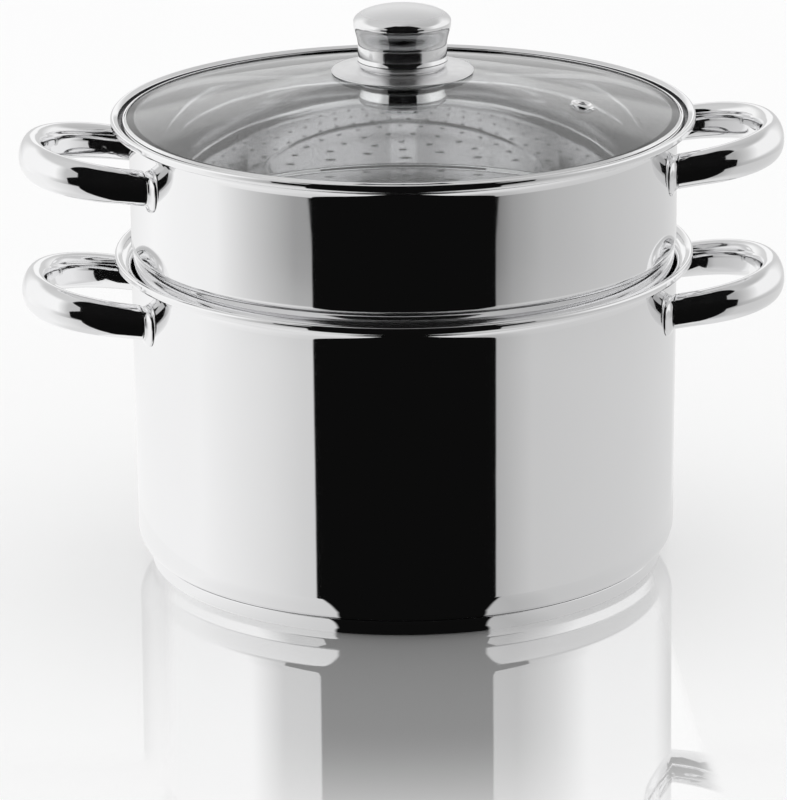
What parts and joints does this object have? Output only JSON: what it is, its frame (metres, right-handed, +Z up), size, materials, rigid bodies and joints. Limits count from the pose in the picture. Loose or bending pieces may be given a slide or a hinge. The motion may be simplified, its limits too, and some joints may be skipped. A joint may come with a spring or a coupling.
{
  "type": "casserole with stacked steamer and lid",
  "caption": "Polished steel casserole with a stacked steamer insert, loop handles and a domed glass lid with a round steel knob and steam vent.",
  "frame": {"origin": "centre of the base's underside, on the surface that the pot stands on", "axes": "+Z up along the pot's axis, +X towards the right handle of the casserole, -Y towards the front"},
  "size_m": [0.3372, 0.2564, 0.2509],
  "materials": {
    "polished_steel": "mirror polished",
    "satin_steel": "satin",
    "aluminium": "plain",
    "clear_glass": "clear, tempered",
    "silicone": "soft"
  },
  "bodies": {
    "casserole": {"casserole_body": "polished_steel", "heat_spreader": "aluminium", "base_cap": "satin_steel", "casserole_handle_left": "polished_steel", "casserole_handle_right": "polished_steel", "casserole_handle_foot_left_front": "polished_steel", "casserole_handle_foot_left_back": "polished_steel", "casserole_handle_foot_right_front": "polished_steel", "casserole_handle_foot_right_back": "polished_steel"},
    "steamer": {"steamer_body": "polished_steel", "steamer_handle_left": "polished_steel", "steamer_handle_right": "polished_steel", "steamer_handle_foot_left_front": "polished_steel", "steamer_handle_foot_left_back": "polished_steel", "steamer_handle_foot_right_front": "polished_steel", "steamer_handle_foot_right_back": "polished_steel"},
    "lid": {"lid_glass": "clear_glass", "lid_band": "polished_steel", "vent_grommet": "polished_steel", "knob_plate": "polished_steel", "knob_base_ring": "polished_steel", "knob_shell": "polished_steel", "knob_insert": "aluminium", "knob_screw": "satin_steel", "knob_seal": "silicone", "knob_washer": "satin_steel", "knob_lower_cup": "polished_steel"}
  },
  "joints": [
    {"name": "steamer_lift", "type": "slide", "parent": "casserole", "child": "steamer", "axis": [0, 0, 1], "range_m": [0, 0.1]},
    {"name": "lid_lift", "type": "slide", "parent": "steamer", "child": "lid", "axis": [0, 0, 1], "range_m": [0, 0.1]}
  ]
}
